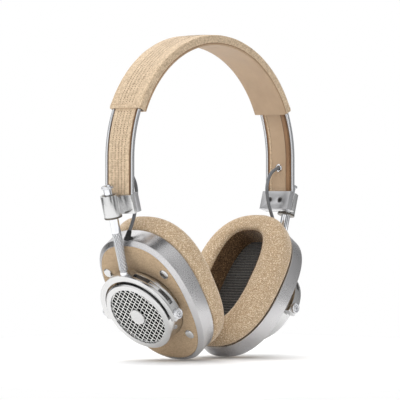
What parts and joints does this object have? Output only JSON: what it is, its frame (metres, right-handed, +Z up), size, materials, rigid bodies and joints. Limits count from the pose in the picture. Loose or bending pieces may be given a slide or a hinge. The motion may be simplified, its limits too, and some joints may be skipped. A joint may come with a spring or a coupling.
{
  "type": "over ear headphones",
  "caption": "Over ear headphones with a padded headband on two steel rails, sliding swivelling rods, tilting oval cups with soft ring cushions, and push keys on the yokes.",
  "frame": {"origin": "saddle of the headband: the highest point of its lining, on the plane of symmetry", "axes": "+Z up through the headband's crown, -Y to the front, left cup at -X"},
  "size_m": [0.169, 0.0644, 0.1901],
  "materials": {
    "canvas": "woven cotton canvas, tan",
    "suede": "napped suede, tan",
    "liner_leather": "smooth grain, tan",
    "dark_cloth": "ribbed knit, charcoal",
    "foam": "open cell foam",
    "spring_steel": "polished wire",
    "satin_aluminium": "fine satin",
    "bright_aluminium": "bead blasted and bright",
    "chrome": "polished",
    "grille_mesh": "woven wire over black cloth",
    "black_rubber": "matt",
    "grey_lead": "satin",
    "black_plastic": "moulded",
    "magnet_steel": "plated",
    "circuit": "solder mask",
    "foil": "pouch foil",
    "bronze": "turned"
  },
  "bodies": {
    "left_bush": {"left_friction_bush": "bronze"},
    "left_post": {"left_rod": "chrome", "left_rod_cap": "chrome", "left_yoke": "bright_aluminium", "left_pivot_screws": "chrome"},
    "left_cup": {"left_rim": "satin_aluminium", "left_face_plate": "canvas", "left_face_studs": "bright_aluminium", "left_drum": "bright_aluminium", "left_grille": "grille_mesh", "left_centre_disc": "bright_aluminium", "left_baffle": "black_plastic", "left_baffle_cloth": "dark_cloth", "left_driver_basket": "black_plastic", "left_driver_magnet": "magnet_steel", "left_diaphragm": "black_plastic", "left_cushion": "suede", "left_strain_relief": "black_rubber", "battery": "foil"},
    "key_volume_up": {"key_volume_up": "satin_aluminium"},
    "key_play": {"key_play": "satin_aluminium"},
    "key_volume_down": {"key_volume_down": "satin_aluminium"},
    "right_bush": {"right_friction_bush": "bronze"},
    "right_post": {"right_rod": "chrome", "right_rod_cap": "chrome", "right_yoke": "bright_aluminium", "right_pivot_screws": "chrome"},
    "right_cup": {"right_rim": "satin_aluminium", "right_face_plate": "canvas", "right_face_studs": "bright_aluminium", "right_drum": "bright_aluminium", "right_grille": "grille_mesh", "right_centre_disc": "bright_aluminium", "right_baffle": "black_plastic", "right_baffle_cloth": "dark_cloth", "right_driver_basket": "black_plastic", "right_driver_magnet": "magnet_steel", "right_diaphragm": "black_plastic", "right_cushion": "suede", "right_strain_relief": "black_rubber", "circuit_board": "circuit", "right_charge_socket": "satin_aluminium"},
    "key_power": {"key_power": "satin_aluminium"},
    "headband": {"headband_liner": "liner_leather", "headband_cover": "canvas", "headband_padding": "foam", "headband_cable": "grey_lead", "strap": "canvas", "front_rail": "spring_steel", "rear_rail": "spring_steel", "left_end_block": "satin_aluminium", "left_clamp_plate": "satin_aluminium", "left_clamp_screws": "chrome", "left_eyelet": "chrome", "left_lead": "grey_lead", "right_end_block": "satin_aluminium", "right_clamp_plate": "satin_aluminium", "right_clamp_screws": "chrome", "right_eyelet": "chrome", "right_lead": "grey_lead"}
  },
  "joints": [
    {"name": "left_swivel", "type": "hinge", "parent": "headband", "child": "left_bush", "pos_m": [-0.07746, 0, -0.09456], "axis": [-0.2807, 0, 0.9598], "range_deg": [-4, 90], "deforming": ["left_lead"]},
    {"name": "left_slide", "type": "slide", "parent": "left_bush", "child": "left_post", "axis": [-0.2807, 0, 0.9598], "range_m": [-0.0005, 0.0085], "deforming": ["left_lead"]},
    {"name": "left_tilt", "type": "hinge", "parent": "left_post", "child": "left_cup", "pos_m": [-0.05157, 0, -0.15497], "axis": [0, 1, 0], "range_deg": [0, 33], "deforming": ["left_lead"]},
    {"name": "key_volume_up_press", "type": "slide", "parent": "left_post", "child": "key_volume_up", "axis": [0.4991, 0.4664, -0.7303], "range_m": [0, 0.0005], "stiffness_N_per_m": 1500},
    {"name": "key_play_press", "type": "slide", "parent": "left_post", "child": "key_play", "axis": [0.399, 0.7071, -0.5838], "range_m": [0, 0.0005], "stiffness_N_per_m": 1500},
    {"name": "key_volume_down_press", "type": "slide", "parent": "left_post", "child": "key_volume_down", "axis": [0.2632, 0.8846, -0.3851], "range_m": [0, 0.0005], "stiffness_N_per_m": 1500},
    {"name": "right_swivel", "type": "hinge", "parent": "headband", "child": "right_bush", "pos_m": [0.07746, 0, -0.09456], "axis": [-0.2807, 0, -0.9598], "range_deg": [-4, 90], "deforming": ["right_lead"]},
    {"name": "right_slide", "type": "slide", "parent": "right_bush", "child": "right_post", "axis": [0.2807, 0, 0.9598], "range_m": [-0.0005, 0.0085], "deforming": ["right_lead"]},
    {"name": "right_tilt", "type": "hinge", "parent": "right_post", "child": "right_cup", "pos_m": [0.05157, 0, -0.15497], "axis": [0, -1, 0], "range_deg": [0, 33], "deforming": ["right_lead"]},
    {"name": "key_power_press", "type": "slide", "parent": "right_post", "child": "key_power", "axis": [-0.399, 0.7071, -0.5838], "range_m": [0, 0.0005], "stiffness_N_per_m": 1500}
  ]
}
